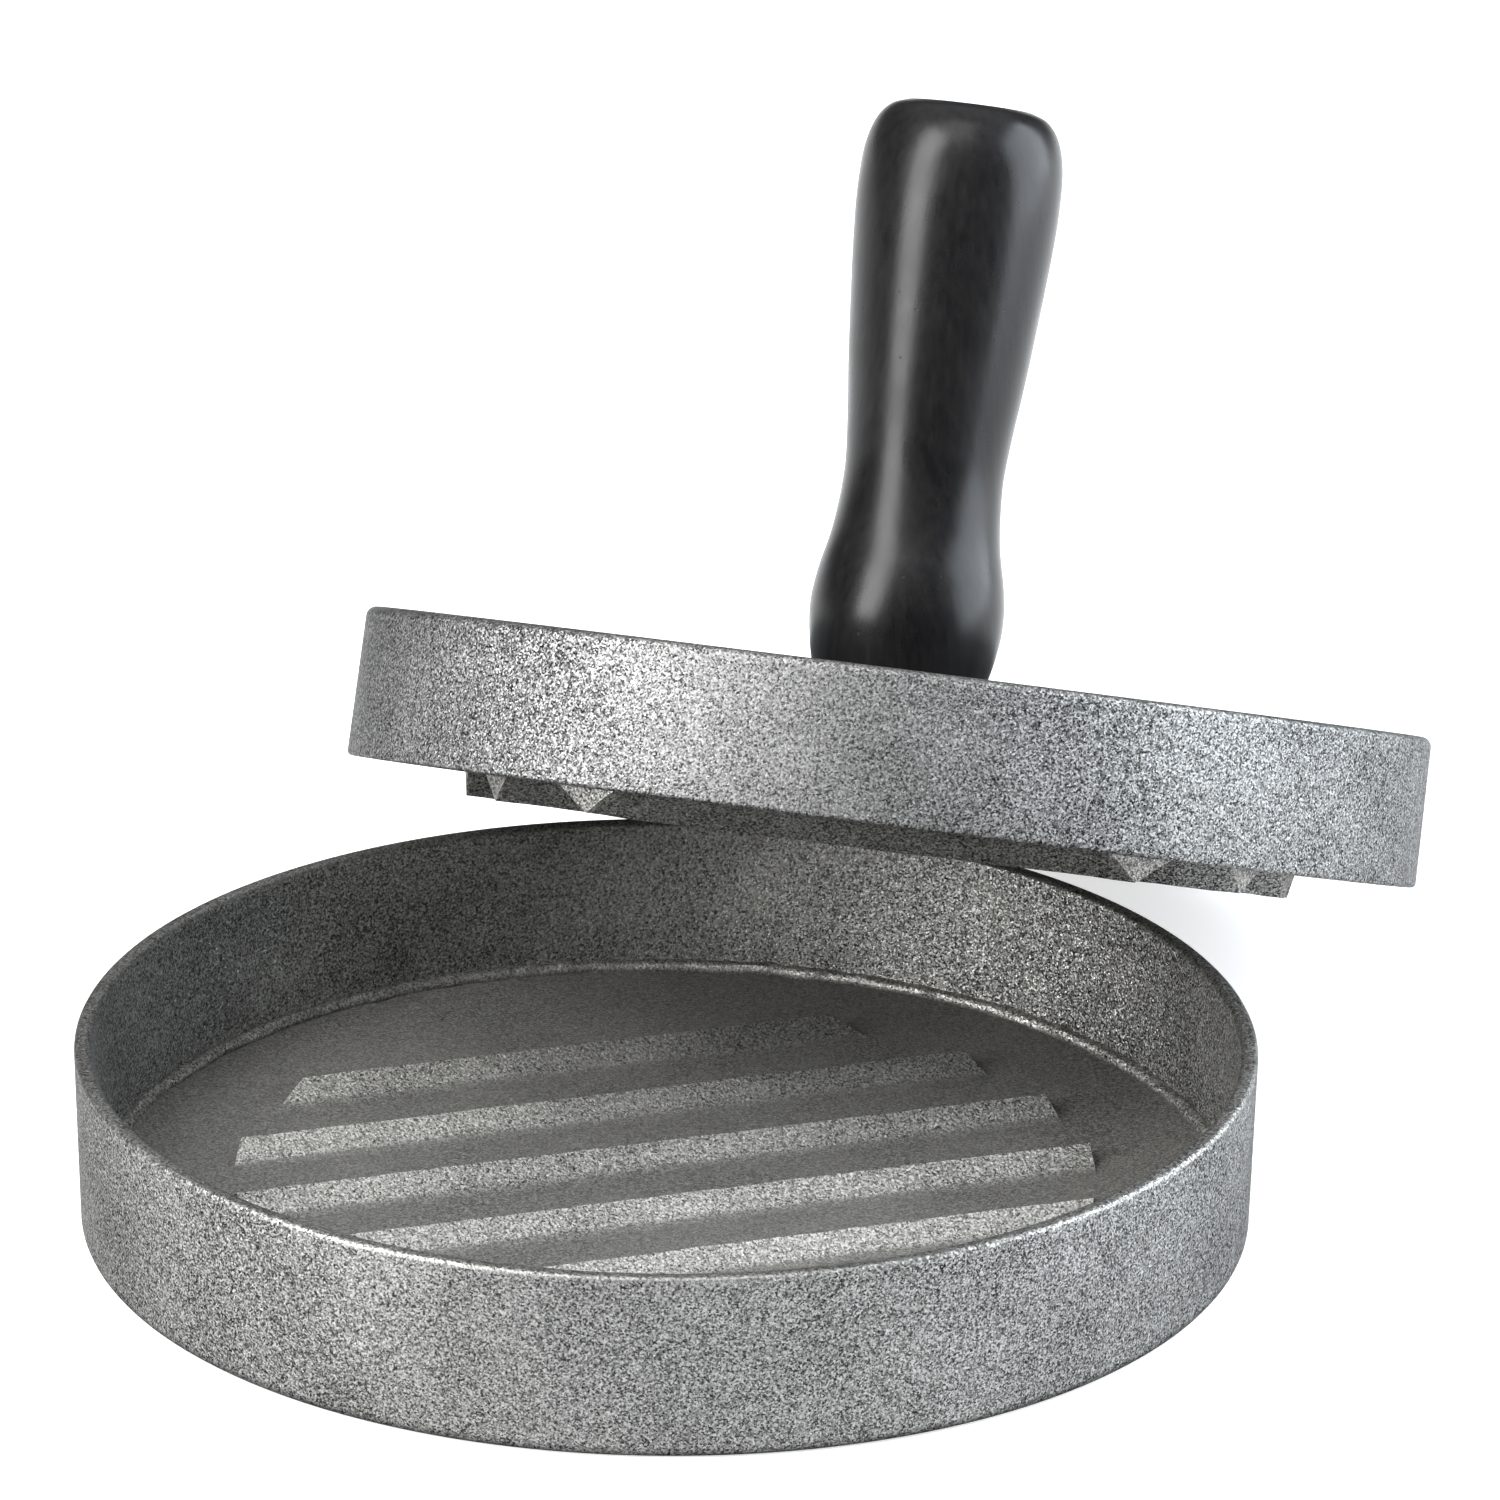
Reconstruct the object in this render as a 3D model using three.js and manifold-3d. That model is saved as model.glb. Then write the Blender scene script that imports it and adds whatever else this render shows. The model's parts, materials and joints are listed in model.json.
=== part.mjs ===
// Patty press: a round cast-aluminium mould, and a press plate with a turned wooden handle.
// The mould stands on the table and the plate leans back over the mould's rear rim.
// Millimetres, +Z up. The origin is the centre of the mould's flat underside, and +Y is
// the way the plate leans.

import * as THREE from 'three';
import { mergeVertices } from 'three/addons/utils/BufferGeometryUtils.js';
import Module from 'manifold-3d';

const wasm = await Module();
wasm.setup();

// Mould
const MOULD_RIM_R = 63;
const MOULD_FOOT_R = 62.4;
const MOULD_HEIGHT = 20.5;
const MOULD_FLOOR = 3.4;
const MOULD_INNER_RIM_R = 61.1;
const MOULD_INNER_FLOOR_R = 60.6;
const MOULD_FOOT_ROUND = 0.9;
const MOULD_RIM_BREAK = 0.35;
const MOULD_FLOOR_FILLET = 1;
const MOULD_RIDGE_HEIGHT = 2;
const MOULD_RIDGE_WIDTH = 6.2;
const MOULD_RIDGE_END_R = 46.4;
const MOULD_RIDGE_TURN = THREE.MathUtils.degToRad(36);

// Ridges, the same count and pitch in the mould and on the plate
const RIDGE_COUNT = 6;
const RIDGE_PITCH = 14;
const RIDGE_CREST_FLAT = 0.3;
const RIDGE_SUNK = 0.6;

// Press plate, measured from its flat underside
const PLATE_R = 59.6;
const PLATE_TOP_R = 59.4;
const PLATE_HEIGHT = 16.7;
const PLATE_FLOOR = 4;
const PLATE_WALL = 2.4;
const PLATE_EDGE_ROUND = 0.5;
const PLATE_TOP_ROUND = 0.6;
const PLATE_FLOOR_FILLET = 2;
const PLATE_RIDGE_HEIGHT = 2.7;
const PLATE_RIDGE_WIDTH = 5.4;
const PLATE_RIDGE_END_R = 46.4;
const PLATE_RIDGE_TURN = THREE.MathUtils.degToRad(12.5);

// Boss in the middle of the plate, tapped for the stud
const BOSS_TOP = 9;
const BOSS_R = 11;
const BOSS_FOOT_R = 12.5;
const STUD_HOLE_BOTTOM = 1.6;

// How the plate leans
const LEAN = THREE.MathUtils.degToRad(22.25);
const PLATE_CENTRE = [5.15, 60.6, 23];

// Stud, threaded insert and washer (M8 thread, shown at its mean diameter)
const GAP = 0.3;
const STUD_R = 3.7;
const STUD_TOP = 25;
const STUD_CHAMFER = 0.7;
const WASHER_R = 9.4;
const WASHER_HOLE_R = 4.5;
const WASHER_THICK = 1.6;
const INSERT_R = 5.6;
const INSERT_LENGTH = 13;

// Handle: height and radius along the turned outline, from the foot to the crown
const HANDLE_FOOT = BOSS_TOP + GAP + WASHER_THICK + GAP;
const HANDLE_TOP = 80;
const HANDLE_FOOT_R = 8.4;
const HANDLE_OUTLINE = [
  [8.9, HANDLE_FOOT + 0.6],
  [9.4, 15],
  [10.35, 19],
  [10.8, 23],
  [10.4, 27],
  [9.35, 32],
  [8.87, 38],
  [9.15, 43],
  [9.9, 50],
  [10.7, 59],
  [11.2, 66],
  [11.3, 70.5],
  [11.05, 74.3],
  [10.2, 77.3],
  [8.8, 79.1],
  [7, 79.85],
];
const SOCKET_R = INSERT_R + GAP;
const SOCKET_TOP = 28;

// Facets round the axis
const CAST_FACETS = 96;
const HANDLE_FACETS = 48;
const HANDLE_STEPS = 26;
const FITTING_FACETS = 36;

const CAST_OUTSIDE = new THREE.Color(0x8f9092);
const CAST_PLATE = new THREE.Color(0x929395);
const BLACK_LACQUER = new THREE.Color(0x1b1a19);
const PLATED_STEEL = new THREE.Color(0xb4b5b8);
const BRASS = new THREE.Color(0xb08d4a);

// A closed geometry as a solid that can be joined and cut
function solid(geometry) {
  geometry.deleteAttribute('normal');
  geometry.deleteAttribute('uv');
  const merged = mergeVertices(geometry, 1e-5);
  const corners = merged.index.array;
  const triangles = [];
  for (let i = 0; i < corners.length; i += 3) {
    const [a, b, c] = corners.subarray(i, i + 3);
    if (a !== b && b !== c && c !== a) triangles.push(a, b, c);
  }
  return new wasm.Manifold(new wasm.Mesh({
    numProp: 3,
    vertProperties: Float32Array.from(merged.attributes.position.array),
    triVerts: Uint32Array.from(triangles),
  }));
}

// A solid of revolution about Z. The outline holds [radius, height] pairs, and goes up the
// outside and back down the inside, so that the faces point out.
function turned(outline, facets) {
  const points = outline.map(([radius, height]) => new THREE.Vector2(radius, height));
  return solid(new THREE.LatheGeometry(points, facets).rotateX(Math.PI / 2));
}

// Points on a rounded corner of an outline, about its own centre, between two directions
// in degrees
function corner(centreR, centreZ, radius, fromAngle, toAngle, steps) {
  const points = [];
  for (let i = 0; i <= steps; i += 1) {
    const angle = THREE.MathUtils.degToRad(fromAngle + (toAngle - fromAngle) * (i / steps));
    points.push([centreR + radius * Math.cos(angle), centreZ + radius * Math.sin(angle)]);
  }
  return points;
}

// The parallel V ridges on a flat surface, all cut off on one circle. They stand up from
// the surface where up is 1, and hang down from it where up is -1. Their length runs along
// X, turned about Z.
function ridges(surface, up, height, width, endRadius, turn) {
  const slope = (width / 2 - RIDGE_CREST_FLAT / 2) / height;
  const sunkHalf = width / 2 + RIDGE_SUNK * slope;
  const section = new THREE.Shape();
  section.moveTo(-sunkHalf, surface - up * RIDGE_SUNK);
  section.lineTo(sunkHalf, surface - up * RIDGE_SUNK);
  section.lineTo(RIDGE_CREST_FLAT / 2, surface + up * height);
  section.lineTo(-RIDGE_CREST_FLAT / 2, surface + up * height);
  section.closePath();
  const length = 2 * MOULD_RIM_R;
  let bars = null;
  for (let i = 0; i < RIDGE_COUNT; i += 1) {
    const across = (i - (RIDGE_COUNT - 1) / 2) * RIDGE_PITCH;
    const bar = new THREE.ExtrudeGeometry(section, { depth: length, bevelEnabled: false });
    bar.translate(0, 0, -length / 2);
    bar.rotateX(Math.PI / 2);
    bar.translate(across, 0, 0);
    bar.rotateZ(Math.PI / 2 + turn);
    bars = bars ? bars.add(solid(bar)) : solid(bar);
  }
  const drum = new THREE.CylinderGeometry(endRadius, endRadius, 4 * height, CAST_FACETS);
  drum.rotateX(Math.PI / 2);
  drum.translate(0, 0, surface);
  return bars.intersect(solid(drum));
}

// A named mesh with its own material
function piece(name, shape, colour, roughness, metalness) {
  const { vertProperties, triVerts } = shape.getMesh();
  const geometry = new THREE.BufferGeometry();
  geometry.setAttribute('position', new THREE.BufferAttribute(vertProperties, 3));
  geometry.setIndex(new THREE.BufferAttribute(triVerts, 1));
  geometry.computeVertexNormals();
  const material = new THREE.MeshStandardMaterial({ color: colour, roughness, metalness });
  const mesh = new THREE.Mesh(geometry, material);
  mesh.name = name;
  return mesh;
}

// Mould: a shallow round dish with a drafted wall, cast in one with its ridges
function mould() {
  const foot = MOULD_FOOT_ROUND;
  const rim = MOULD_RIM_BREAK;
  const fillet = MOULD_FLOOR_FILLET;
  const dish = turned([
    [0, 0],
    ...corner(MOULD_FOOT_R - foot, foot, foot, -90, 0, 3),
    [MOULD_RIM_R, MOULD_HEIGHT - rim],
    [MOULD_RIM_R - rim, MOULD_HEIGHT],
    [MOULD_INNER_RIM_R + rim, MOULD_HEIGHT],
    [MOULD_INNER_RIM_R, MOULD_HEIGHT - rim],
    ...corner(MOULD_INNER_FLOOR_R - fillet, MOULD_FLOOR + fillet, fillet, 0, -90, 3),
    [0, MOULD_FLOOR],
  ], CAST_FACETS);
  const bars = ridges(
    MOULD_FLOOR,
    1,
    MOULD_RIDGE_HEIGHT,
    MOULD_RIDGE_WIDTH,
    MOULD_RIDGE_END_R,
    MOULD_RIDGE_TURN,
  );
  return dish.add(bars);
}

// Press plate: an open shell with the ridges underneath and the tapped boss inside
function pressPlate() {
  const edge = PLATE_EDGE_ROUND;
  const top = PLATE_TOP_ROUND;
  const fillet = PLATE_FLOOR_FILLET;
  const innerR = PLATE_TOP_R - PLATE_WALL;
  const shell = turned([
    [0, 0],
    ...corner(PLATE_R - edge, edge, edge, -90, 0, 2),
    ...corner(PLATE_TOP_R - top, PLATE_HEIGHT - top, top, 0, 90, 2),
    ...corner(innerR + top, PLATE_HEIGHT - top, top, 90, 180, 2),
    ...corner(innerR - fillet, PLATE_FLOOR + fillet, fillet, 0, -90, 3),
    ...corner(BOSS_FOOT_R + fillet, PLATE_FLOOR + fillet, fillet, -90, -180, 3),
    [BOSS_R, BOSS_TOP - 0.5],
    [BOSS_R - 0.5, BOSS_TOP],
    [0, BOSS_TOP],
  ], CAST_FACETS);
  const bars = ridges(
    0,
    -1,
    PLATE_RIDGE_HEIGHT,
    PLATE_RIDGE_WIDTH,
    PLATE_RIDGE_END_R,
    PLATE_RIDGE_TURN,
  );
  const hole = turned([
    [0, STUD_HOLE_BOTTOM],
    [STUD_R + GAP, STUD_HOLE_BOTTOM],
    [STUD_R + GAP, BOSS_TOP + GAP],
    [0, BOSS_TOP + GAP],
  ], FITTING_FACETS);
  return shell.add(bars).subtract(hole);
}

// Stud: a headless threaded rod, screwed into the boss and standing up into the handle
function stud() {
  const bottom = STUD_HOLE_BOTTOM + GAP;
  return turned([
    [0, bottom],
    [STUD_R - STUD_CHAMFER, bottom],
    [STUD_R, bottom + STUD_CHAMFER],
    [STUD_R, STUD_TOP - STUD_CHAMFER],
    [STUD_R - STUD_CHAMFER, STUD_TOP],
    [0, STUD_TOP],
  ], FITTING_FACETS);
}

// A plain ring with square edges, closed on itself
function ring(innerR, outerR, bottom, height, facets) {
  return turned([
    [innerR, bottom],
    [outerR, bottom],
    [outerR, bottom + height],
    [innerR, bottom + height],
    [innerR, bottom],
  ], facets);
}

// Handle: a turned knob with a waist, drilled from below for the insert
function handle() {
  const outline = new THREE.SplineCurve(
    HANDLE_OUTLINE.map(([radius, height]) => new THREE.Vector2(radius, height)),
  );
  const side = outline.getPoints(HANDLE_STEPS).map((point) => [point.x, point.y]);
  return turned([
    [SOCKET_R, HANDLE_FOOT],
    [HANDLE_FOOT_R, HANDLE_FOOT],
    ...side,
    [0, HANDLE_TOP],
    [0, SOCKET_TOP + SOCKET_R * 0.5],
    [SOCKET_R, SOCKET_TOP],
    [SOCKET_R, HANDLE_FOOT],
  ], HANDLE_FACETS);
}

const washerBottom = BOSS_TOP + GAP;
const insertBottom = HANDLE_FOOT + GAP;

// The plate, its stud and the handle, in the plate's own upright frame, then leaned back
const press = new THREE.Group();
press.add(
  piece('press_plate', pressPlate(), CAST_PLATE, 0.5, 0.9),
  piece('stud', stud(), PLATED_STEEL, 0.35, 1),
  piece(
    'washer',
    ring(WASHER_HOLE_R, WASHER_R, washerBottom, WASHER_THICK, FITTING_FACETS),
    PLATED_STEEL,
    0.35,
    1,
  ),
  piece(
    'threaded_insert',
    ring(STUD_R + GAP, INSERT_R, insertBottom, INSERT_LENGTH, FITTING_FACETS),
    BRASS,
    0.4,
    1,
  ),
  piece('handle', handle(), BLACK_LACQUER, 0.42, 0),
);
press.rotation.x = -LEAN;
press.position.set(...PLATE_CENTRE);

const assembly = new THREE.Group();
assembly.add(piece('base_mould', mould(), CAST_OUTSIDE, 0.5, 0.9), press);

export default assembly;
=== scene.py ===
"""A patty press: a cast-aluminium mould with a ridged floor, and a press plate on a turned
black handle, leaning on the mould's rim. Metres, +Z up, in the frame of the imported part."""

import json
import math

import bmesh
import bpy
from mathutils import Matrix, Vector


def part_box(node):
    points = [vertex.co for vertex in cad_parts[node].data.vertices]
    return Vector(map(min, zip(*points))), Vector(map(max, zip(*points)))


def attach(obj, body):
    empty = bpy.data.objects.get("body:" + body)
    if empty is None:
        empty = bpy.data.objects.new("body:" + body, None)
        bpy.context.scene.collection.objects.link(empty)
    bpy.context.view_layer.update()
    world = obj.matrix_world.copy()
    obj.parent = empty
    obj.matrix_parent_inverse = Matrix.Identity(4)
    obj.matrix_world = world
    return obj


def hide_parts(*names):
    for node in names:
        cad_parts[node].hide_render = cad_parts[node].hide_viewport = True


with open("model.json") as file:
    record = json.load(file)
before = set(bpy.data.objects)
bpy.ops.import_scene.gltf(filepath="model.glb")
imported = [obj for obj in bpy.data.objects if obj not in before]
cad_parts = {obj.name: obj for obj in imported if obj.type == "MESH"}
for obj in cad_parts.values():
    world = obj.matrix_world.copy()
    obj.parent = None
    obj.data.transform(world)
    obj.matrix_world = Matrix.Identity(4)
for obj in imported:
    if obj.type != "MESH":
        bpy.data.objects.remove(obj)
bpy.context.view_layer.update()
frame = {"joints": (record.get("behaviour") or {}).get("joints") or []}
MM = 0.001

# --- Studio --------------------------------------------------------------------------------
# A pale table, lit through from below as well as from three large soft lights, and a long
# lens well back from the table, a little to the right of straight ahead.

CAMERA_AIM = Vector((0.0002, 0.0279, 0.043))
CAMERA_DISTANCE = 1.258
CAMERA_AZIMUTH = 17.54
CAMERA_ELEVATION = 21.49
CAMERA_ROLL = -0.57
CAMERA_LENS = 279.95
LIGHT_DISTANCE = 0.9
KEY_SIZE = (0.42, 0.95)
SIDE_SIZE = (0.9, 0.8)
SIDE_COLOUR = (0.86, 0.93, 1)
FILL_SIZE = (0.5, 0.5)
LOW_AIR = (0.1, 0.102, 0.105, 1)
HIGH_AIR = (0.97, 0.985, 1, 1)
AIR_STRENGTH = 1.25
FLOOR_SIZE = 40
FLOOR_PAINT = (0.62, 0.62, 0.62, 1)
FLOOR_GLOW = 0.62


def place_round(target, azimuth, elevation, distance):
    """A point that looks at the target; azimuth 0 is in front of it, and 90 is to its right."""
    turn, rise = math.radians(azimuth), math.radians(elevation)
    out = Vector((math.sin(turn) * math.cos(rise), -math.cos(turn) * math.cos(rise), math.sin(rise)))
    return target + out * distance, out


def softbox(name, azimuth, elevation, size, power, colour=(1, 1, 1)):
    """A rectangular soft light of that size in metres, turned towards the press."""
    place, out = place_round(CAMERA_AIM, azimuth, elevation, LIGHT_DISTANCE)
    bpy.ops.object.light_add(type="AREA", location=place)
    light = bpy.context.object
    light.name = name
    light.rotation_euler = out.to_track_quat("Z", "Y").to_euler()
    light.data.shape = "RECTANGLE"
    light.data.size, light.data.size_y = size
    light.data.energy = power
    light.data.color = colour


camera_place, camera_out = place_round(
    CAMERA_AIM, CAMERA_AZIMUTH, CAMERA_ELEVATION, CAMERA_DISTANCE
)
bpy.ops.object.camera_add(location=camera_place)
camera = bpy.context.object
camera.rotation_euler = (
    camera_out.to_track_quat("Z", "Y").to_matrix()
    @ Matrix.Rotation(math.radians(-CAMERA_ROLL), 3, "Z")
).to_euler()
camera.data.lens = CAMERA_LENS
camera.data.sensor_width = 36
camera.data.clip_start = 0.1
camera.data.clip_end = 50
bpy.context.scene.camera = camera
bpy.context.scene.view_settings.view_transform = "Standard"

softbox("key_light", -36, 32, KEY_SIZE, 21)
softbox("side_light", 112, 20, SIDE_SIZE, 21, SIDE_COLOUR)
softbox("fill_light", 8, 70, FILL_SIZE, 2.5)

# the room is bright overhead and dim near the horizon
world = bpy.data.worlds.new("studio_air")
bpy.context.scene.world = world
world.use_nodes = True
air = world.node_tree
sky_place = air.nodes.new("ShaderNodeTexCoord")
sky_split = air.nodes.new("ShaderNodeSeparateXYZ")
sky_tone = air.nodes.new("ShaderNodeValToRGB")
air.links.new(sky_place.outputs["Generated"], sky_split.inputs["Vector"])
air.links.new(sky_split.outputs["Z"], sky_tone.inputs["Fac"])
air.links.new(sky_tone.outputs["Color"], air.nodes["Background"].inputs["Color"])
sky_tone.color_ramp.elements[0].position = 0.42
sky_tone.color_ramp.elements[0].color = LOW_AIR
sky_tone.color_ramp.elements[1].position = 0.88
sky_tone.color_ramp.elements[1].color = HIGH_AIR
air.nodes["Background"].inputs["Strength"].default_value = AIR_STRENGTH

bpy.ops.mesh.primitive_plane_add(size=FLOOR_SIZE, location=(0, 0, 0))
floor = bpy.context.object
floor.name = "studio_floor"
floor_paint = bpy.data.materials.new("studio_floor_paint")
floor_paint.use_nodes = True
paint = floor_paint.node_tree.nodes["Principled BSDF"]
paint.inputs["Base Color"].default_value = FLOOR_PAINT
paint.inputs["Roughness"].default_value = 0.9
paint.inputs["Emission Color"].default_value = (1, 1, 1, 1)
paint.inputs["Emission Strength"].default_value = FLOOR_GLOW
floor.data.materials.append(floor_paint)


# --- Mould ---------------------------------------------------------------------------------
# The lower half: a shallow round dish, cast in aluminium in one with the six V ridges on its
# floor. It is left as cast, with a sandy skin, so it has no seams and no fixings.

mould_low, mould_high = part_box("base_mould")
RIM_RADIUS = mould_high.x
RIM_HEIGHT = mould_high.z
RIM_LAND = 1.9 * MM
FOOT_RADIUS = 62.4 * MM
FLOOR_HEIGHT = 3.4 * MM
FLOOR_RADIUS = 60.6 * MM
ROUND_STEPS = 224
RIDGE_COUNT = 6
RIDGE_PITCH = 14 * MM
RIDGE_SUNK = 0.8 * MM
MOULD_RIDGE_HEIGHT = 2 * MM
MOULD_RIDGE_HALF = 3.1 * MM
MOULD_RIDGE_END = 46.4 * MM
MOULD_RIDGE_TURN = math.radians(36)
BEAD_RADIUS = 0.85 * MM
BEAD_SUNK = 0.4 * MM
BEAD_RAISED = 0.25 * MM
RIM_OUTER_ROUND = 0.6 * MM
RIM_INNER_ROUND = 0.7 * MM
FOOT_ROUND = 1.3 * MM
FLOOR_FILLET = 1 * MM
MOULD_TONE = (0.141, 0.141, 0.138)


def only(obj):
    """Makes obj the one selected and active object."""
    bpy.ops.object.select_all(action="DESELECT")
    obj.select_set(True)
    bpy.context.view_layer.objects.active = obj


def edit(obj):
    """Opens obj in edit mode with nothing selected."""
    only(obj)
    bpy.ops.object.mode_set(mode="EDIT")
    bpy.ops.mesh.select_mode(type="VERT")
    bpy.ops.mesh.select_all(action="DESELECT")


def pick(kind, test):
    """Selects the verts, edges or faces whose every corner passes the test, and nothing else."""
    bpy.ops.mesh.select_mode(type=kind)
    bpy.ops.mesh.select_all(action="DESELECT")
    mesh = bmesh.from_edit_mesh(bpy.context.edit_object.data)
    if kind == "VERT":
        for vert in mesh.verts:
            vert.select_set(test(vert.co))
    for part in {"VERT": (), "EDGE": mesh.edges, "FACE": mesh.faces}[kind]:
        if all(test(vert.co) for vert in part.verts):
            part.select_set(True)
    bmesh.update_edit_mesh(bpy.context.edit_object.data)


def from_axis(point):
    return math.hypot(point.x, point.y)


def at_ring(radius, height, slack=0.05 * MM):
    """A test for points on the circle of that radius and height."""
    return lambda p: abs(from_axis(p) - radius) < slack and abs(p.z - height) < slack


def round_edge(radius, height, width, segments):
    """Rounds the circular edge at that radius and height."""
    pick("EDGE", at_ring(radius, height))
    bpy.ops.mesh.bevel(offset=width, offset_type="OFFSET", segments=segments, profile=0.5)


def push(height, scale):
    """Extrudes the selected face up or down by height, and scales it about the axis."""
    bpy.ops.mesh.extrude_region_move(TRANSFORM_OT_translate={"value": (0, 0, height)})
    bpy.ops.transform.resize(value=(scale, scale, 1), center_override=(0, 0, 0))


def apply_modifiers(obj):
    only(obj)
    for modifier in list(obj.modifiers):
        bpy.ops.object.modifier_apply(modifier=modifier.name)


def combine(obj, other, operation):
    """Joins or cuts obj with another closed mesh, which is used up."""
    modifier = obj.modifiers.new("combine", "BOOLEAN")
    modifier.operation = operation
    modifier.solver = "EXACT"
    modifier.object = other
    apply_modifiers(obj)
    bpy.data.objects.remove(other)


def roughen(obj, size, depth, group="", level=0.5):
    """Moves the surface in and out by slow noise of that size; a group limits where."""
    waves = bpy.data.textures.new(obj.name + "_waves", "CLOUDS")
    waves.noise_scale = size
    waves.noise_depth = 1
    uneven = obj.modifiers.new("uneven", "DISPLACE")
    uneven.texture = waves
    uneven.texture_coords = "LOCAL"
    uneven.vertex_group = group
    uneven.strength = depth
    uneven.mid_level = level
    apply_modifiers(obj)


def ridge_bar(height, half_width):
    """One ridge along X, drawn as a section and pulled along its length. The crest is blunt
    and a little uneven, and the feet run out into the floor with a small hollow."""
    blunt = 0.16 * MM
    flare = 1 * MM
    steps = 90
    length = 2 * RIM_RADIUS
    slope = height / half_width
    section = [
        (-half_width - flare, -RIDGE_SUNK),
        (-half_width - flare, 0.01 * MM),
        (-half_width - 0.45 * MM, 0.06 * MM),
        (-half_width + 0.05 * MM, 0.2 * MM),
        (-half_width + 0.5 * MM, 0.5 * MM * slope + 0.07 * MM),
        (-half_width / 2, height / 2),
        (-blunt, height - blunt * slope * 0.75),
        (0, height),
    ]
    section += [(-y, z) for y, z in reversed(section[:-1])]
    bpy.ops.mesh.primitive_plane_add(size=1)
    bar = bpy.context.object
    edit(bar)
    bpy.ops.mesh.select_all(action="SELECT")
    bpy.ops.mesh.merge(type="CENTER")
    start = Vector((-length / 2, *section[0]))
    bpy.ops.transform.translate(value=start)
    for (y0, z0), (y1, z1) in zip(section, section[1:] + section[:1]):
        bpy.ops.mesh.extrude_region_move(
            TRANSFORM_OT_translate={"value": (0, y1 - y0, z1 - z0)}
        )
    bpy.ops.mesh.select_all(action="SELECT")
    bpy.ops.mesh.remove_doubles(threshold=1e-6)
    bpy.ops.mesh.edge_face_add()
    for _ in range(steps):
        bpy.ops.mesh.extrude_region_move(
            TRANSFORM_OT_translate={"value": (length / steps, 0, 0)}
        )
    bpy.ops.mesh.select_all(action="SELECT")
    bpy.ops.mesh.normals_make_consistent(inside=False)
    bpy.ops.object.mode_set(mode="OBJECT")
    return bar


def ridge_set(name, height, half_width, end_radius, turn):
    """The six ridges side by side, cut off on one circle by a slightly tapered drum."""
    bars = []
    for index in range(RIDGE_COUNT):
        bar = ridge_bar(height, half_width)
        bar.location.y = (index - (RIDGE_COUNT - 1) / 2) * RIDGE_PITCH
        bars.append(bar)
    bpy.ops.object.select_all(action="DESELECT")
    for bar in bars:
        bar.select_set(True)
    bpy.context.view_layer.objects.active = bars[0]
    bpy.ops.object.join()
    ridges = bpy.context.object
    ridges.name = name
    bpy.ops.object.transform_apply(location=True, rotation=True, scale=True)
    taper = 0.12
    reach = 4 * MM
    bpy.ops.mesh.primitive_cone_add(
        vertices=ROUND_STEPS,
        radius1=end_radius + reach * taper,
        radius2=end_radius - reach * taper,
        depth=2 * reach,
        location=(0, 0, 0),
    )
    combine(ridges, bpy.context.object, "INTERSECT")
    crest = ridges.vertex_groups.new(name="crest")
    for vert in ridges.data.vertices:
        crest.add([vert.index], max(0, min(1, vert.co.z / height)), "REPLACE")
    roughen(ridges, 3.5 * MM, 0.22 * MM, "crest", 0.6)
    ridges.vertex_groups.clear()
    ridges.rotation_euler.z = turn
    return ridges


def finish_mesh(obj, smooth_angle=32):
    """Applies the object's place, closes seams, and smooths what isn't an edge."""
    only(obj)
    bpy.ops.object.transform_apply(location=True, rotation=True, scale=True)
    edit(obj)
    bpy.ops.mesh.select_all(action="SELECT")
    bpy.ops.mesh.remove_doubles(threshold=2e-6)
    bpy.ops.mesh.normals_make_consistent(inside=False)
    bpy.ops.object.mode_set(mode="OBJECT")
    bpy.ops.object.shade_smooth_by_angle(angle=math.radians(smooth_angle))
    return obj


bpy.ops.mesh.primitive_cylinder_add(
    vertices=ROUND_STEPS, radius=FOOT_RADIUS, depth=RIM_HEIGHT, location=(0, 0, RIM_HEIGHT / 2)
)
mould = bpy.context.object
mould.name = "mould"
bpy.ops.object.transform_apply(location=True, rotation=True, scale=True)
edit(mould)
pick("FACE", lambda p: p.z > RIM_HEIGHT - 0.01 * MM)
bpy.ops.transform.resize(
    value=(RIM_RADIUS / FOOT_RADIUS, RIM_RADIUS / FOOT_RADIUS, 1), center_override=(0, 0, 0)
)
bpy.ops.mesh.inset(thickness=RIM_LAND)
push(FLOOR_HEIGHT - RIM_HEIGHT, FLOOR_RADIUS / (RIM_RADIUS - RIM_LAND))
round_edge(RIM_RADIUS, RIM_HEIGHT, RIM_OUTER_ROUND, 5)
round_edge(RIM_RADIUS - RIM_LAND, RIM_HEIGHT, RIM_INNER_ROUND, 5)
round_edge(FOOT_RADIUS, 0, FOOT_ROUND, 6)
round_edge(FLOOR_RADIUS, FLOOR_HEIGHT, FLOOR_FILLET, 5)
bpy.ops.object.mode_set(mode="OBJECT")
mould_ridges = ridge_set(
    "mould_ridges", MOULD_RIDGE_HEIGHT, MOULD_RIDGE_HALF, MOULD_RIDGE_END, MOULD_RIDGE_TURN
)
mould_ridges.location.z = FLOOR_HEIGHT
combine(mould, mould_ridges, "UNION")
bpy.ops.mesh.primitive_torus_add(
    major_radius=FLOOR_RADIUS - BEAD_SUNK,
    minor_radius=BEAD_RADIUS,
    major_segments=720,
    minor_segments=14,
    location=(0, 0, FLOOR_HEIGHT + BEAD_RAISED),
)
bead = bpy.context.object
bpy.ops.object.transform_apply(location=True, rotation=True, scale=True)
roughen(bead, 1.8 * MM, 0.6 * MM)
combine(mould, bead, "UNION")
finish_mesh(mould)


def new_material(name):
    """A fresh material, with its node tree and its shader."""
    material = bpy.data.materials.new(name)
    material.use_nodes = True
    return material, material.node_tree, material.node_tree.nodes["Principled BSDF"]


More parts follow.
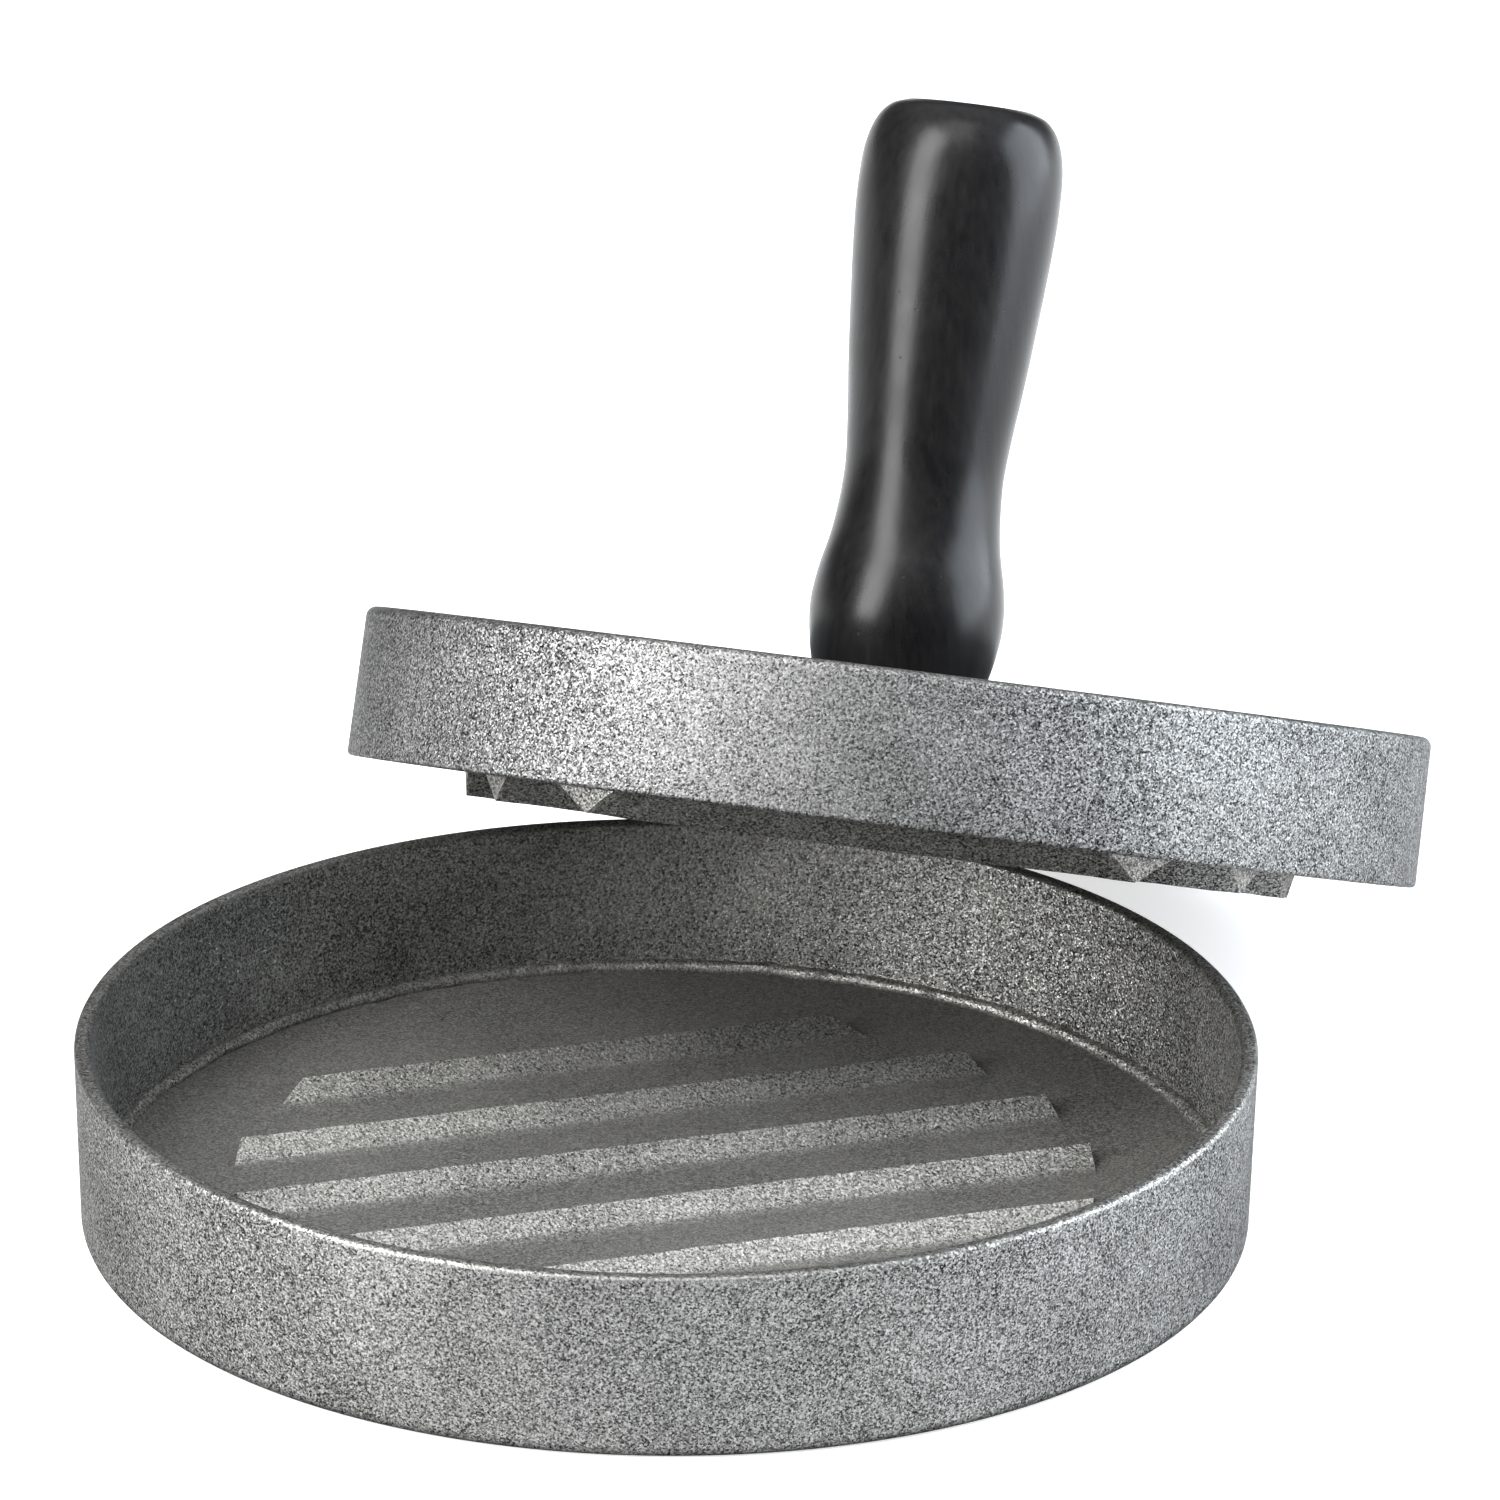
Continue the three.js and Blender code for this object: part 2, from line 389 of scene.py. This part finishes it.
def add_node(tree, kind, settings=None, **sockets):
    """A shader node with its settings, and a value or a link for each socket named; spaces
    in a socket's name are written as underscores."""
    node = tree.nodes.new(kind)
    for name, value in (settings or {}).items():
        setattr(node, name, value)
    for name, value in sockets.items():
        feed(tree, node.inputs[name.replace("_", " ")], value)
    return node


def feed(tree, socket, value):
    """Links an output to the socket, or sets the socket to a plain value."""
    if isinstance(value, bpy.types.NodeSocket):
        tree.links.new(value, socket)
    else:
        socket.default_value = value


def reckon(tree, operation, *values):
    """A maths node on those values, as an output."""
    node = tree.nodes.new("ShaderNodeMath")
    node.operation = operation
    for socket, value in zip(node.inputs, values):
        feed(tree, socket, value)
    return node.outputs["Value"]


def spread(tree, value, low, high, to_low, to_high):
    """Maps a value from one range to another, clamped, as an output."""
    node = add_node(
        tree, "ShaderNodeMapRange",
        Value=value, From_Min=low, From_Max=high, To_Min=to_low, To_Max=to_high,
    )
    return node.outputs["Result"]


def noise(tree, place, scale, detail=3, rough=0.5):
    """Soft noise with that many cells to the metre, as an output."""
    node = add_node(
        tree, "ShaderNodeTexNoise", Vector=place, Scale=scale, Detail=detail, Roughness=rough
    )
    return node.outputs["Fac"]


def tint(tree, under, mask, colour):
    """The colour under it multiplied by another where the mask is 1, as an output."""
    node = add_node(tree, "ShaderNodeMix", {"data_type": "RGBA", "blend_type": "MULTIPLY"})
    feed(tree, node.inputs["Factor"], mask)
    feed(tree, node.inputs[6], under)
    feed(tree, node.inputs[7], (*colour, 1))
    return node.outputs[2]


def height_and_reach(tree, place):
    """How high a point is, and how far from the upright axis, as two outputs."""
    height = add_node(tree, "ShaderNodeSeparateXYZ", Vector=place).outputs["Z"]
    flat = add_node(tree, "ShaderNodeVectorMath", {"operation": "MULTIPLY"})
    feed(tree, flat.inputs[0], place)
    feed(tree, flat.inputs[1], (1, 1, 0))
    reach = add_node(
        tree, "ShaderNodeVectorMath", {"operation": "LENGTH"}, Vector=flat.outputs["Vector"]
    )
    return height, reach.outputs["Value"]


def rim_edge(tree, height, rim_height):
    """A mask of the rim's rounded edges, which are drawn lighter and glossier."""
    return spread(tree, height, rim_height - 0.75 * MM, rim_height - 0.3 * MM, 0, 1)


def cast_aluminium(name, tone, find_zones):
    """As-cast aluminium: a sandy skin of bright and dark grains about 0.2 mm across, each
    tipped its own way, with slow clouds of tone from the pour. find_zones gives the masks
    of the rim's edges, which are drawn lighter and glossier; of painted light, where the
    colour is painted lighter; of brighter painted light still; of the flat floor, which is
    rougher and calmer and painted darker as painted shade; and of more painted shade."""
    grain_cells = 5600
    sand_cells = 3400
    cloud_cells = 70
    grain_tip = 0.5
    painted_light_and_edge_tint = (1.42, 1.41, 1.38)
    brighter_painted_light_tint = (1.16, 1.15, 1.13)
    painted_shade_tint = (0.3, 0.3, 0.3)
    material, tree, shader = new_material(name)
    place = add_node(tree, "ShaderNodeTexCoord").outputs["Object"]
    grains = add_node(
        tree, "ShaderNodeTexVoronoi", {"feature": "F1"}, Vector=place, Scale=grain_cells
    )
    grain = add_node(tree, "ShaderNodeSeparateColor", Color=grains.outputs["Color"])
    sand = noise(tree, place, sand_cells)
    clouds = noise(tree, place, cloud_cells)
    edge, painted_light, brighter_painted_light, matte_floor_shade, painted_foot_shade = find_zones(tree, place, clouds)
    # the grain is calmer on the rim's edges, under the brighter painted light and on the flat floor
    calmed_edge_and_light = reckon(
        tree, "MAXIMUM", reckon(tree, "MULTIPLY", edge, 0.6), reckon(tree, "MULTIPLY", brighter_painted_light, 0.4)
    )
    calmer = reckon(tree, "MAXIMUM", matte_floor_shade, calmed_edge_and_light)

    # tone: each grain has its own, the sand darkens hollows, and the clouds drift slowly
    speckle = reckon(
        tree, "MULTIPLY_ADD", sand, 0.6, reckon(tree, "MULTIPLY", grain.outputs["Red"], 0.4)
    )
    drift = reckon(tree, "MULTIPLY_ADD", clouds, 0.21, speckle)
    calm = reckon(
        tree, "MULTIPLY_ADD",
        reckon(tree, "SUBTRACT", 0.6, drift), reckon(tree, "MULTIPLY", calmer, 0.6), drift,
    )
    shade = add_node(tree, "ShaderNodeValToRGB", Fac=calm)
    ramp = shade.color_ramp
    ramp.elements[0].position = 0.4
    ramp.elements[0].color = (*(c * 0.12 for c in tone), 1)
    ramp.elements[1].position = 0.86
    ramp.elements[1].color = (*(c * 2.5 for c in tone), 1)
    middle = ramp.elements.new(0.6)
    middle.color = (*tone, 1)
    # painted light: the mould's inside and the plate's underside are painted lighter, and the rim's
    # rounded edges are lightened too
    bright = tint(tree, shade.outputs["Color"], reckon(tree, "MAXIMUM", painted_light, edge), painted_light_and_edge_tint)
    # brighter painted light still on the mould's floor and ridges and on the plate's ridge ends
    brighter = tint(tree, bright, brighter_painted_light, brighter_painted_light_tint)
    # painted shade: the mould's flat floor and its foot are painted darker
    painted_shade = reckon(tree, "MULTIPLY_ADD", matte_floor_shade, 0.36, painted_foot_shade)
    feed(tree, shader.inputs["Base Color"], tint(tree, brighter, painted_shade, painted_shade_tint))
    feed(tree, shader.inputs["Metallic"], 1)
    feed(tree, shader.inputs["Specular Tint"], (0.4, 0.4, 0.4, 1))
    sandy = spread(tree, grain.outputs["Green"], 0, 1, 0.44, 0.66)
    polished = reckon(tree, "MULTIPLY_ADD", edge, -0.1, sandy)
    feed(tree, shader.inputs["Roughness"], reckon(tree, "MULTIPLY_ADD", matte_floor_shade, 0.16, polished))

    # tip: each grain turns the surface a little, less so where the grain is calmer
    centred = add_node(tree, "ShaderNodeVectorMath", {"operation": "SUBTRACT"})
    feed(tree, centred.inputs[0], grains.outputs["Color"])
    feed(tree, centred.inputs[1], (0.5, 0.5, 0.5))
    tip = add_node(
        tree, "ShaderNodeVectorMath", {"operation": "SCALE"}, Vector=centred.outputs["Vector"]
    )
    feed(tree, tip.inputs["Scale"], spread(tree, calmer, 0, 1, grain_tip, grain_tip * 0.4))
    surface = add_node(tree, "ShaderNodeNewGeometry").outputs["Normal"]
    tipped = add_node(tree, "ShaderNodeVectorMath", {"operation": "ADD"})
    feed(tree, tipped.inputs[0], surface)
    feed(tree, tipped.inputs[1], tip.outputs["Vector"])
    even = add_node(
        tree, "ShaderNodeVectorMath", {"operation": "NORMALIZE"}, Vector=tipped.outputs["Vector"]
    )
    bump = add_node(
        tree, "ShaderNodeBump",
        Strength=0.8, Distance=0.08 * MM, Height=sand, Normal=even.outputs["Vector"],
    )
    feed(tree, shader.inputs["Normal"], bump.outputs["Normal"])
    return material


def mould_zones(tree, place, clouds):
    """The mould's inside is painted lighter as painted light, and brighter still on its floor
    and ridges; the flat floor is rougher, and it and the foot, where it stands on the table,
    are painted darker as painted shade."""
    height, reach = height_and_reach(tree, place)
    edge = rim_edge(tree, height, RIM_HEIGHT)
    wall = FLOOR_RADIUS + 0.6 * MM
    inside = spread(tree, reach, wall, wall + 0.3 * MM, 1, 0)
    corner = spread(tree, height, FLOOR_HEIGHT + 1.1 * MM, FLOOR_HEIGHT + 1.4 * MM, 1, 0)
    # brighter painted light on the floor and the ridges
    bed = reckon(
        tree, "MAXIMUM", reckon(tree, "MULTIPLY", corner, inside),
        spread(tree, reach, 0.82 * FLOOR_RADIUS, 0.84 * FLOOR_RADIUS, 1, 0),
    )
    # painted shade on the flat floor, which is also made rougher
    low = spread(tree, height, FLOOR_HEIGHT + 0.2 * MM, FLOOR_HEIGHT + 0.5 * MM, 1, 0)
    matte_floor_shade = reckon(
        tree, "MULTIPLY", reckon(tree, "MULTIPLY", low, inside),
        spread(tree, clouds, 0.35, 0.5, 0.75, 1),
    )
    # painted shade along the foot, low down on the outside
    foot = reckon(
        tree, "MULTIPLY", reckon(tree, "SUBTRACT", 1, inside),
        spread(tree, height, 0.3 * MM, 1.5 * MM, 1, 0),
    )
    return edge, inside, bed, matte_floor_shade, foot


mould.data.materials.clear()
mould.data.materials.append(cast_aluminium("mould_casting", MOULD_TONE, mould_zones))
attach(mould, "mould")
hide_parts("base_mould")


# --- Press plate ---------------------------------------------------------------------------
# The upper half: an aluminium casting like the mould, an open shell with the same ridges
# underneath and a boss in the middle, drilled and tapped for the stud.

turn_joint = next(j for j in frame["joints"] if j["name"] == "handle_turn")
PLATE_CENTRE = Vector(turn_joint["pos_m"])
LEAN = Vector(turn_joint["axis"]).angle(Vector((0, 0, 1)))
PLATE_RADIUS = 59.6 * MM
PLATE_TOP_RADIUS = 59.4 * MM
PLATE_HEIGHT = 16.7 * MM
PLATE_FLOOR = 4 * MM
PLATE_WALL = 2.4 * MM
BOSS_HEIGHT = 9.25 * MM
BOSS_RADIUS = 11 * MM
BOSS_FOOT = 14.5 * MM
STUD_HOLE = 4 * MM
STUD_HOLE_BOTTOM = 1.6 * MM
UNDERSIDE_ROUND = 0.5 * MM
TOP_OUTER_ROUND = 1.1 * MM
TOP_INNER_ROUND = 0.6 * MM
SHELL_FILLET = 2 * MM
BOSS_ROUND = 0.5 * MM
HOLE_CHAMFER = 0.25 * MM
SHELL_DRAFT = 0.4 * MM
PLATE_RIDGE_HEIGHT = 2.9 * MM
PLATE_RIDGE_HALF = 2.7 * MM
PLATE_RIDGE_END = 46.4 * MM
PLATE_RIDGE_TURN = math.radians(12.5)
PLATE_TONE = (0.138, 0.138, 0.137)


def lean_back(obj):
    """Leans a piece made upright on the plate's axis back to where the plate stands."""
    obj.rotation_euler = (-LEAN, 0, 0)
    obj.location = PLATE_CENTRE
    return finish_mesh(obj)


bpy.ops.mesh.primitive_cylinder_add(
    vertices=ROUND_STEPS,
    radius=PLATE_RADIUS,
    depth=PLATE_HEIGHT,
    location=(0, 0, PLATE_HEIGHT / 2),
)
plate = bpy.context.object
plate.name = "plate"
bpy.ops.object.transform_apply(location=True, rotation=True, scale=True)
edit(plate)
pick("FACE", lambda p: p.z > PLATE_HEIGHT - 0.01 * MM)
bpy.ops.transform.resize(
    value=(PLATE_TOP_RADIUS / PLATE_RADIUS, PLATE_TOP_RADIUS / PLATE_RADIUS, 1),
    center_override=(0, 0, 0),
)
bpy.ops.mesh.inset(thickness=PLATE_WALL)
shell_radius = PLATE_TOP_RADIUS - PLATE_WALL
shell_floor_radius = shell_radius - SHELL_DRAFT
push(PLATE_FLOOR - PLATE_HEIGHT, shell_floor_radius / shell_radius)
bpy.ops.mesh.inset(thickness=shell_floor_radius - BOSS_FOOT)
push(BOSS_HEIGHT - PLATE_FLOOR, BOSS_RADIUS / BOSS_FOOT)
bpy.ops.mesh.inset(thickness=BOSS_RADIUS - STUD_HOLE)
push(STUD_HOLE_BOTTOM - BOSS_HEIGHT, 1)
round_edge(PLATE_RADIUS, 0, UNDERSIDE_ROUND, 3)
round_edge(PLATE_TOP_RADIUS, PLATE_HEIGHT, TOP_OUTER_ROUND, 6)
round_edge(shell_radius, PLATE_HEIGHT, TOP_INNER_ROUND, 4)
round_edge(shell_floor_radius, PLATE_FLOOR, SHELL_FILLET, 6)
round_edge(BOSS_FOOT, PLATE_FLOOR, SHELL_FILLET, 6)
round_edge(BOSS_RADIUS, BOSS_HEIGHT, BOSS_ROUND, 3)
round_edge(STUD_HOLE, BOSS_HEIGHT, HOLE_CHAMFER, 2)
bpy.ops.object.mode_set(mode="OBJECT")
plate_ridges = ridge_set(
    "plate_ridges", PLATE_RIDGE_HEIGHT, PLATE_RIDGE_HALF, PLATE_RIDGE_END, -PLATE_RIDGE_TURN
)
only(plate_ridges)
bpy.ops.object.transform_apply(location=True, rotation=True, scale=True)
plate_ridges.rotation_euler.x = math.pi
bpy.ops.object.transform_apply(location=True, rotation=True, scale=True)
combine(plate, plate_ridges, "UNION")
lean_back(plate)


def plate_zones(tree, place, clouds):
    """The plate is painted lighter underneath as painted light, and most where its ridges'
    ends are trimmed. Its heights are measured in the plate's own leaning frame."""
    own = add_node(
        tree, "ShaderNodeMapping",
        {"vector_type": "TEXTURE"}, Vector=place, Location=PLATE_CENTRE, Rotation=(-LEAN, 0, 0),
    ).outputs["Vector"]
    height, reach = height_and_reach(tree, own)
    edge = rim_edge(tree, height, PLATE_HEIGHT)
    ends = PLATE_RIDGE_END - 0.6 * MM
    # brighter painted light on the ridges' trimmed ends, and painted light underneath
    ridge_end_light = reckon(
        tree, "MULTIPLY",
        spread(tree, height, -0.35 * MM, -0.15 * MM, 1, 0),
        spread(tree, reach, ends - 0.15 * MM, ends, 0, 1),
    )
    underside = spread(tree, height, 0.02 * MM, 0.12 * MM, 1, 0)
    painted_light = reckon(tree, "MAXIMUM", reckon(tree, "MULTIPLY", underside, 0.6), ridge_end_light)
    return edge, painted_light, ridge_end_light, 0, 0


plate.data.materials.clear()
plate.data.materials.append(cast_aluminium("plate_casting", PLATE_TONE, plate_zones))
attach(plate, "plate")
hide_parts("press_plate")


# --- Stud ----------------------------------------------------------------------------------
# An M8 threaded rod without a head, screwed tight into the plate's boss; the handle screws
# on to the part that stands up. Zinc-plated steel, with a rolled thread and chamfered ends.

STUD_LOW = 1.9 * MM
STUD_HIGH = 25 * MM
STUD_CREST = 3.85 * MM
STUD_ROOT = 3.25 * MM
STUD_CHAMFER = 0.7 * MM
THREAD_PITCH = 1.25 * MM
THREAD_FLAT = 0.18 * MM


def chain(name, points):
    """A line of edges through those points, given as pairs of radius and height."""
    bpy.ops.mesh.primitive_plane_add(size=1)
    obj = bpy.context.object
    obj.name = name
    edit(obj)
    bpy.ops.mesh.select_all(action="SELECT")
    bpy.ops.mesh.merge(type="CENTER")
    bpy.ops.transform.translate(value=(points[0][0], 0, points[0][1]))
    for (r0, z0), (r1, z1) in zip(points, points[1:]):
        bpy.ops.mesh.extrude_region_move(
            TRANSFORM_OT_translate={"value": (r1 - r0, 0, z1 - z0)}
        )
    return obj


def turn_on_lathe(name, points, steps):
    """Spins a profile round the axis into a closed piece, left in object mode."""
    obj = chain(name, points)
    bpy.ops.mesh.select_all(action="SELECT")
    bpy.ops.mesh.spin(steps=steps, angle=2 * math.pi, center=(0, 0, 0), axis=(0, 0, 1))
    bpy.ops.mesh.select_all(action="SELECT")
    bpy.ops.mesh.remove_doubles(threshold=2e-6)
    bpy.ops.mesh.normals_make_consistent(inside=False)
    bpy.ops.object.mode_set(mode="OBJECT")
    return obj


turns = math.ceil((STUD_HIGH - STUD_LOW) / THREAD_PITCH) + 2
start = STUD_LOW - THREAD_PITCH
stud = chain("stud_rod", [
    (STUD_ROOT, start),
    (STUD_ROOT, start + THREAD_FLAT),
    (STUD_CREST, start + THREAD_PITCH / 2),
    (STUD_CREST, start + THREAD_PITCH / 2 + THREAD_FLAT),
    (STUD_ROOT, start + THREAD_PITCH),
])
bpy.ops.object.mode_set(mode="OBJECT")
thread = stud.modifiers.new("thread", "SCREW")
thread.axis = "Z"
thread.angle = 2 * math.pi
thread.screw_offset = THREAD_PITCH
thread.iterations = turns
thread.steps = 40
thread.render_steps = 40
apply_modifiers(stud)
edit(stud)
bpy.ops.mesh.select_all(action="SELECT")
bpy.ops.mesh.remove_doubles(threshold=2e-6)
for height, facing in ((STUD_LOW, -1), (STUD_HIGH, 1)):
    bpy.ops.mesh.select_all(action="SELECT")
    bpy.ops.mesh.bisect(
        plane_co=(0, 0, height), plane_no=(0, 0, facing), use_fill=True, clear_outer=True
    )
bpy.ops.mesh.select_all(action="SELECT")
bpy.ops.mesh.normals_make_consistent(inside=False)
bpy.ops.object.mode_set(mode="OBJECT")
end_drum = turn_on_lathe("end_drum", [
    (0, STUD_LOW),
    (STUD_CREST - STUD_CHAMFER, STUD_LOW),
    (STUD_CREST + 0.02 * MM, STUD_LOW + STUD_CHAMFER),
    (STUD_CREST + 0.02 * MM, STUD_HIGH - STUD_CHAMFER),
    (STUD_CREST - STUD_CHAMFER, STUD_HIGH),
    (0, STUD_HIGH),
], 80)
combine(stud, end_drum, "INTERSECT")
lean_back(stud)


def plated_steel(name):
    """Zinc-plated steel: pale and slightly blue, with fine rubbed lines and dull patches."""
    material, tree, shader = new_material(name)
    place = add_node(tree, "ShaderNodeTexCoord").outputs["Object"]
    patches = noise(tree, place, 260)
    lines = noise(tree, place, 4200, 2)
    shade = add_node(tree, "ShaderNodeValToRGB", Fac=patches)
    shade.color_ramp.elements[0].color = (0.4, 0.41, 0.42, 1)
    shade.color_ramp.elements[1].color = (0.66, 0.68, 0.7, 1)
    feed(tree, shader.inputs["Base Color"], shade.outputs["Color"])
    feed(tree, shader.inputs["Metallic"], 1)
    feed(tree, shader.inputs["Roughness"], spread(tree, patches, 0.3, 0.7, 0.24, 0.42))
    bump = add_node(tree, "ShaderNodeBump", Strength=0.25, Distance=0.02 * MM, Height=lines)
    feed(tree, shader.inputs["Normal"], bump.outputs["Normal"])
    return material


steel = plated_steel("plated_steel")
stud.data.materials.append(steel)
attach(stud, "plate")
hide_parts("stud")


# --- Washer --------------------------------------------------------------------------------
# A flat steel washer, stamped and zinc-plated, that lies on the boss so that the wooden
# handle has something flat to tighten against.

WASHER_LOW = 9.3 * MM
WASHER_HIGH = 10.9 * MM
WASHER_RADIUS = 9.3 * MM
WASHER_HOLE = 4.5 * MM
WASHER_EDGE = 0.25 * MM
washer = turn_on_lathe("washer_disc", [
    (WASHER_HOLE, WASHER_LOW + WASHER_EDGE),
    (WASHER_HOLE + WASHER_EDGE, WASHER_LOW),
    (WASHER_RADIUS - WASHER_EDGE, WASHER_LOW),
    (WASHER_RADIUS, WASHER_LOW + WASHER_EDGE),
    (WASHER_RADIUS, WASHER_HIGH - WASHER_EDGE),
    (WASHER_RADIUS - WASHER_EDGE, WASHER_HIGH),
    (WASHER_HOLE + WASHER_EDGE, WASHER_HIGH),
    (WASHER_HOLE, WASHER_HIGH - WASHER_EDGE),
    (WASHER_HOLE, WASHER_LOW + WASHER_EDGE),
], 96)
lean_back(washer)
washer.data.materials.append(steel)
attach(washer, "handle_washer")
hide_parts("washer")


# --- Threaded insert -----------------------------------------------------------------------
# A brass bush, turned and tapped M8, with grooves round its outside. It is pressed into the
# foot of the handle and takes the wear of the stud's thread.

INSERT_LOW = 11.2 * MM
INSERT_RADIUS = 5.6 * MM
INSERT_BORE = 4 * MM
INSERT_BANDS = 4
BAND_PITCH = 3.3 * MM
BAND_DEPTH = 0.45 * MM
outside = [(INSERT_BORE, INSERT_LOW)]
for band in range(INSERT_BANDS):
    low = INSERT_LOW + band * BAND_PITCH
    outside += [
        (INSERT_RADIUS - BAND_DEPTH, low),
        (INSERT_RADIUS, low + BAND_DEPTH),
        (INSERT_RADIUS, low + BAND_PITCH - 2 * BAND_DEPTH),
        (INSERT_RADIUS - BAND_DEPTH, low + BAND_PITCH - BAND_DEPTH),
    ]
outside += [(INSERT_BORE, outside[-1][1]), outside[0]]
insert = turn_on_lathe("insert_bush", outside, 72)
lean_back(insert)

brass, brass_tree, brass_shader = new_material("brass")
brass_place = add_node(brass_tree, "ShaderNodeTexCoord").outputs["Object"]
brass_patches = noise(brass_tree, brass_place, 300)
brass_shade = add_node(brass_tree, "ShaderNodeValToRGB", Fac=brass_patches)
brass_shade.color_ramp.elements[0].color = (0.38, 0.24, 0.08, 1)
brass_shade.color_ramp.elements[1].color = (0.7, 0.5, 0.2, 1)
feed(brass_tree, brass_shader.inputs["Base Color"], brass_shade.outputs["Color"])
feed(brass_tree, brass_shader.inputs["Metallic"], 1)
brass_rough = spread(brass_tree, brass_patches, 0.3, 0.7, 0.28, 0.45)
feed(brass_tree, brass_shader.inputs["Roughness"], brass_rough)
brass_bump = add_node(
    brass_tree, "ShaderNodeBump",
    Strength=0.3, Distance=0.02 * MM, Height=noise(brass_tree, brass_place, 3500, 2),
)
feed(brass_tree, brass_shader.inputs["Normal"], brass_bump.outputs["Normal"])
insert.data.materials.append(brass)
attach(insert, "grip")
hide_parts("threaded_insert")


# --- Handle --------------------------------------------------------------------------------
# A knob turned from hardwood and lacquered black, with a waist between a bulge at the foot
# and a wider head. Its foot is bored for the insert, and it screws down on to the washer.

HANDLE_FOOT = 10.95 * MM
HANDLE_TOP = 79.95 * MM
HANDLE_FOOT_RADIUS = 8.3 * MM
SOCKET_RADIUS = 5.65 * MM
SOCKET_TOP = 28 * MM
SPLINE_STEPS = 7
HANDLE_OUTLINE = [
    (8.9, 11.7), (9.4, 15), (10.35, 19), (10.8, 23), (10.4, 27), (9.35, 32), (8.87, 38),
    (9.15, 43), (9.9, 50), (10.7, 59), (11.2, 66), (11.3, 70.5), (11.05, 74.3),
    (10.2, 77.25), (8.8, 79.05), (7, 79.8),
]


def smooth_through(points, steps):
    """More points on a smooth curve through the given ones."""
    ends = [points[0], *points, points[-1]]
    curve = []
    for a, b, c, d in zip(ends, ends[1:], ends[2:], ends[3:]):
        for step in range(steps):
            t = step / steps
            curve.append(tuple(
                0.5 * (2 * q + (r - p) * t + (2 * p - 5 * q + 4 * r - s) * t * t
                       + (3 * q - p - 3 * r + s) * t * t * t)
                for p, q, r, s in zip(a, b, c, d)
            ))
    return [*curve, points[-1]]


handle_side = [(r * MM, z * MM) for r, z in smooth_through(HANDLE_OUTLINE, SPLINE_STEPS)]
handle = turn_on_lathe("knob", [
    (SOCKET_RADIUS, SOCKET_TOP),
    (SOCKET_RADIUS, HANDLE_FOOT),
    (HANDLE_FOOT_RADIUS, HANDLE_FOOT),
    (HANDLE_FOOT_RADIUS + 0.45 * MM, HANDLE_FOOT + 0.3 * MM),
    *handle_side,
    (4 * MM, HANDLE_TOP - 0.02 * MM),
    (0, HANDLE_TOP),
], 160)
edit(handle)
pick("EDGE", at_ring(SOCKET_RADIUS, SOCKET_TOP))
bpy.ops.mesh.edge_face_add()
bpy.ops.object.mode_set(mode="OBJECT")
lean_back(handle)

lacquer, wood_tree, wood_shader = new_material("black_lacquered_wood")
wood_place = add_node(wood_tree, "ShaderNodeTexCoord").outputs["Object"]
upright = add_node(
    wood_tree, "ShaderNodeMapping",
    {"vector_type": "POINT"}, Vector=wood_place, Rotation=(LEAN, 0, 0), Scale=(1, 1, 0.07),
).outputs["Vector"]
wood_grain = noise(wood_tree, upright, 1300, 4, 0.65)
pores = add_node(wood_tree, "ShaderNodeTexVoronoi", {"feature": "F1"}, Vector=wood_place, Scale=420)
dust = spread(wood_tree, pores.outputs["Distance"], 0.03, 0.08, 1, 0)
lacquer_pull = noise(wood_tree, wood_place, 190, 2)
wood_shade = add_node(wood_tree, "ShaderNodeValToRGB", Fac=wood_grain)
wood_shade.color_ramp.elements[0].position = 0.35
wood_shade.color_ramp.elements[0].color = (0.0035, 0.0035, 0.004, 1)
wood_shade.color_ramp.elements[1].position = 0.8
wood_shade.color_ramp.elements[1].color = (0.01, 0.0095, 0.0095, 1)
feed(wood_tree, wood_shader.inputs["Base Color"], wood_shade.outputs["Color"])
wood_rough = reckon(
    wood_tree, "MULTIPLY_ADD", dust, 0.2, spread(wood_tree, lacquer_pull, 0.3, 0.7, 0.26, 0.32)
)
feed(wood_tree, wood_shader.inputs["Roughness"], wood_rough)
wood_height = reckon(
    wood_tree, "MULTIPLY_ADD", dust, -0.5, reckon(wood_tree, "MULTIPLY", wood_grain, 0.5)
)
wood_bump = add_node(
    wood_tree, "ShaderNodeBump", Strength=0.35, Distance=0.06 * MM, Height=wood_height
)
feed(wood_tree, wood_shader.inputs["Normal"], wood_bump.outputs["Normal"])
feed(wood_tree, wood_shader.inputs["Specular IOR Level"], 0.3)
feed(wood_tree, wood_shader.inputs["IOR"], 1.4)
handle.data.materials.append(lacquer)
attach(handle, "grip")
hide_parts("handle")
